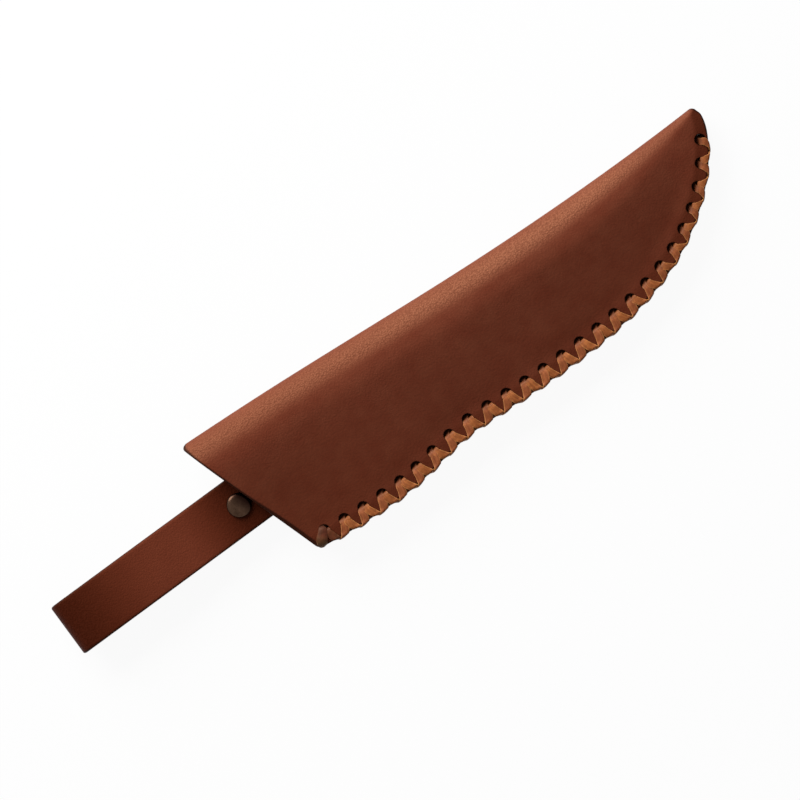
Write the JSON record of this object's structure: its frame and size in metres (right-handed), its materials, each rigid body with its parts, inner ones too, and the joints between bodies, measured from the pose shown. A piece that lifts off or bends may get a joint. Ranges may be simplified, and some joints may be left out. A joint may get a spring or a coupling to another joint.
{
  "type": "knife sheath",
  "caption": "Folded leather knife sheath with a cross-whipped laced edge, a slanted mouth and a strap that folds back on a snap to make a belt loop.",
  "frame": {"origin": "under the middle of the whole part's box, at the lowest point of the snap's post", "axes": "+X along the spine towards the tip, -Y towards the laced edge, +Z out of the front panel"},
  "size_m": [0.2912, 0.0618, 0.0155],
  "materials": {
    "sheath_leather": "smooth reddish brown, fine grain, burnished edges",
    "strap_leather": "smooth reddish brown, fine grain, burnished edges",
    "welt_leather": "raw cut leather, burnished edge",
    "lace_leather": "golden tan, waxed",
    "antique_bronze": "dark antique bronze, worn on the rim",
    "spring_steel": "plain spring wire"
  },
  "bodies": {
    "sheath": {"sheath_body": "sheath_leather", "welt_strip": "welt_leather", "edge_lace": "lace_leather", "belt_strap": "strap_leather", "snap_cap": "antique_bronze", "snap_socket": "antique_bronze", "snap_spring_ring": "spring_steel", "anchor_rivet_1": "antique_bronze", "anchor_rivet_1_cap": "antique_bronze", "anchor_rivet_2": "antique_bronze", "anchor_rivet_2_cap": "antique_bronze"},
    "flap": {"strap_flap": "strap_leather", "snap_stud": "antique_bronze", "snap_post": "antique_bronze"}
  },
  "joints": [
    {"name": "loop_open", "type": "hinge", "parent": "sheath", "child": "flap", "pos_m": [-0.14512, -0.00243, 0.00595], "axis": [-0.0497, 0.9988, 0], "range_deg": [0, 180]}
  ]
}
